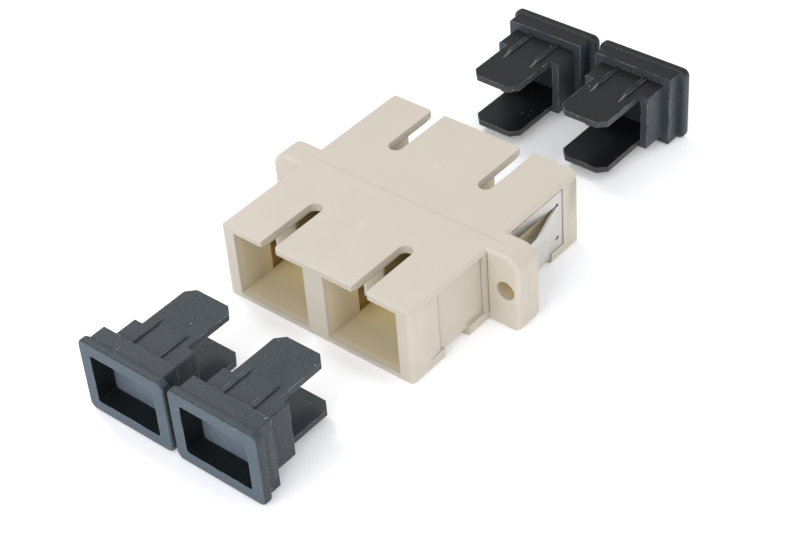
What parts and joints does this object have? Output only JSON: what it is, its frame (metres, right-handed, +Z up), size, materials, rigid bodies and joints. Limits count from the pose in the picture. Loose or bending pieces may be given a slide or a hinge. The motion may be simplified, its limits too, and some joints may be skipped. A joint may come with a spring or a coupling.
{
  "type": "fibre optic adapter",
  "caption": "Flanged fibre adapter with side-by-side ports, a folded spring mounting clip, latch inserts and sleeves inside, and dust caps that pull out of the ports.",
  "frame": {"origin": "midway between the two screw holes in the middle of the flange, where the halves meet; the port axes lie 0.3 mm lower", "axes": "+X across the ports towards the right port seen from the front, +Y along the ports towards the half with the clip, +Z up through the key slots"},
  "size_m": [0.0346, 0.075, 0.0098],
  "materials": {
    "housing_plastic": "fine satin moulded beige",
    "insert_plastic": "satin moulded warm beige",
    "clip_steel": "satin stainless spring steel",
    "sleeve_ceramic": "polished white zirconia",
    "cap_plastic": "satin moulded charcoal"
  },
  "bodies": {
    "adapter": {"housing_front": "housing_plastic", "housing_rear": "housing_plastic", "mounting_clip": "clip_steel", "latch_front_left": "insert_plastic", "latch_front_right": "insert_plastic", "latch_rear_left": "insert_plastic", "latch_rear_right": "insert_plastic", "split_sleeve_left": "sleeve_ceramic", "split_sleeve_right": "sleeve_ceramic"},
    "dust_cap_front_left_body": {"dust_cap_front_left": "cap_plastic"},
    "dust_cap_front_right_body": {"dust_cap_front_right": "cap_plastic"},
    "dust_cap_rear_left_body": {"dust_cap_rear_left": "cap_plastic"},
    "dust_cap_rear_right_body": {"dust_cap_rear_right": "cap_plastic"}
  },
  "joints": [
    {"name": "dust_cap_front_left_slide", "type": "slide", "parent": "adapter", "child": "dust_cap_front_left_body", "axis": [0, 1, 0], "range_m": [0, 0.019]},
    {"name": "dust_cap_front_right_slide", "type": "slide", "parent": "adapter", "child": "dust_cap_front_right_body", "axis": [0, 1, 0], "range_m": [0, 0.019]},
    {"name": "dust_cap_rear_left_slide", "type": "slide", "parent": "adapter", "child": "dust_cap_rear_left_body", "axis": [0, -1, 0], "range_m": [0, 0.0204]},
    {"name": "dust_cap_rear_right_slide", "type": "slide", "parent": "adapter", "child": "dust_cap_rear_right_body", "axis": [0, -1, 0], "range_m": [0, 0.0204]}
  ]
}
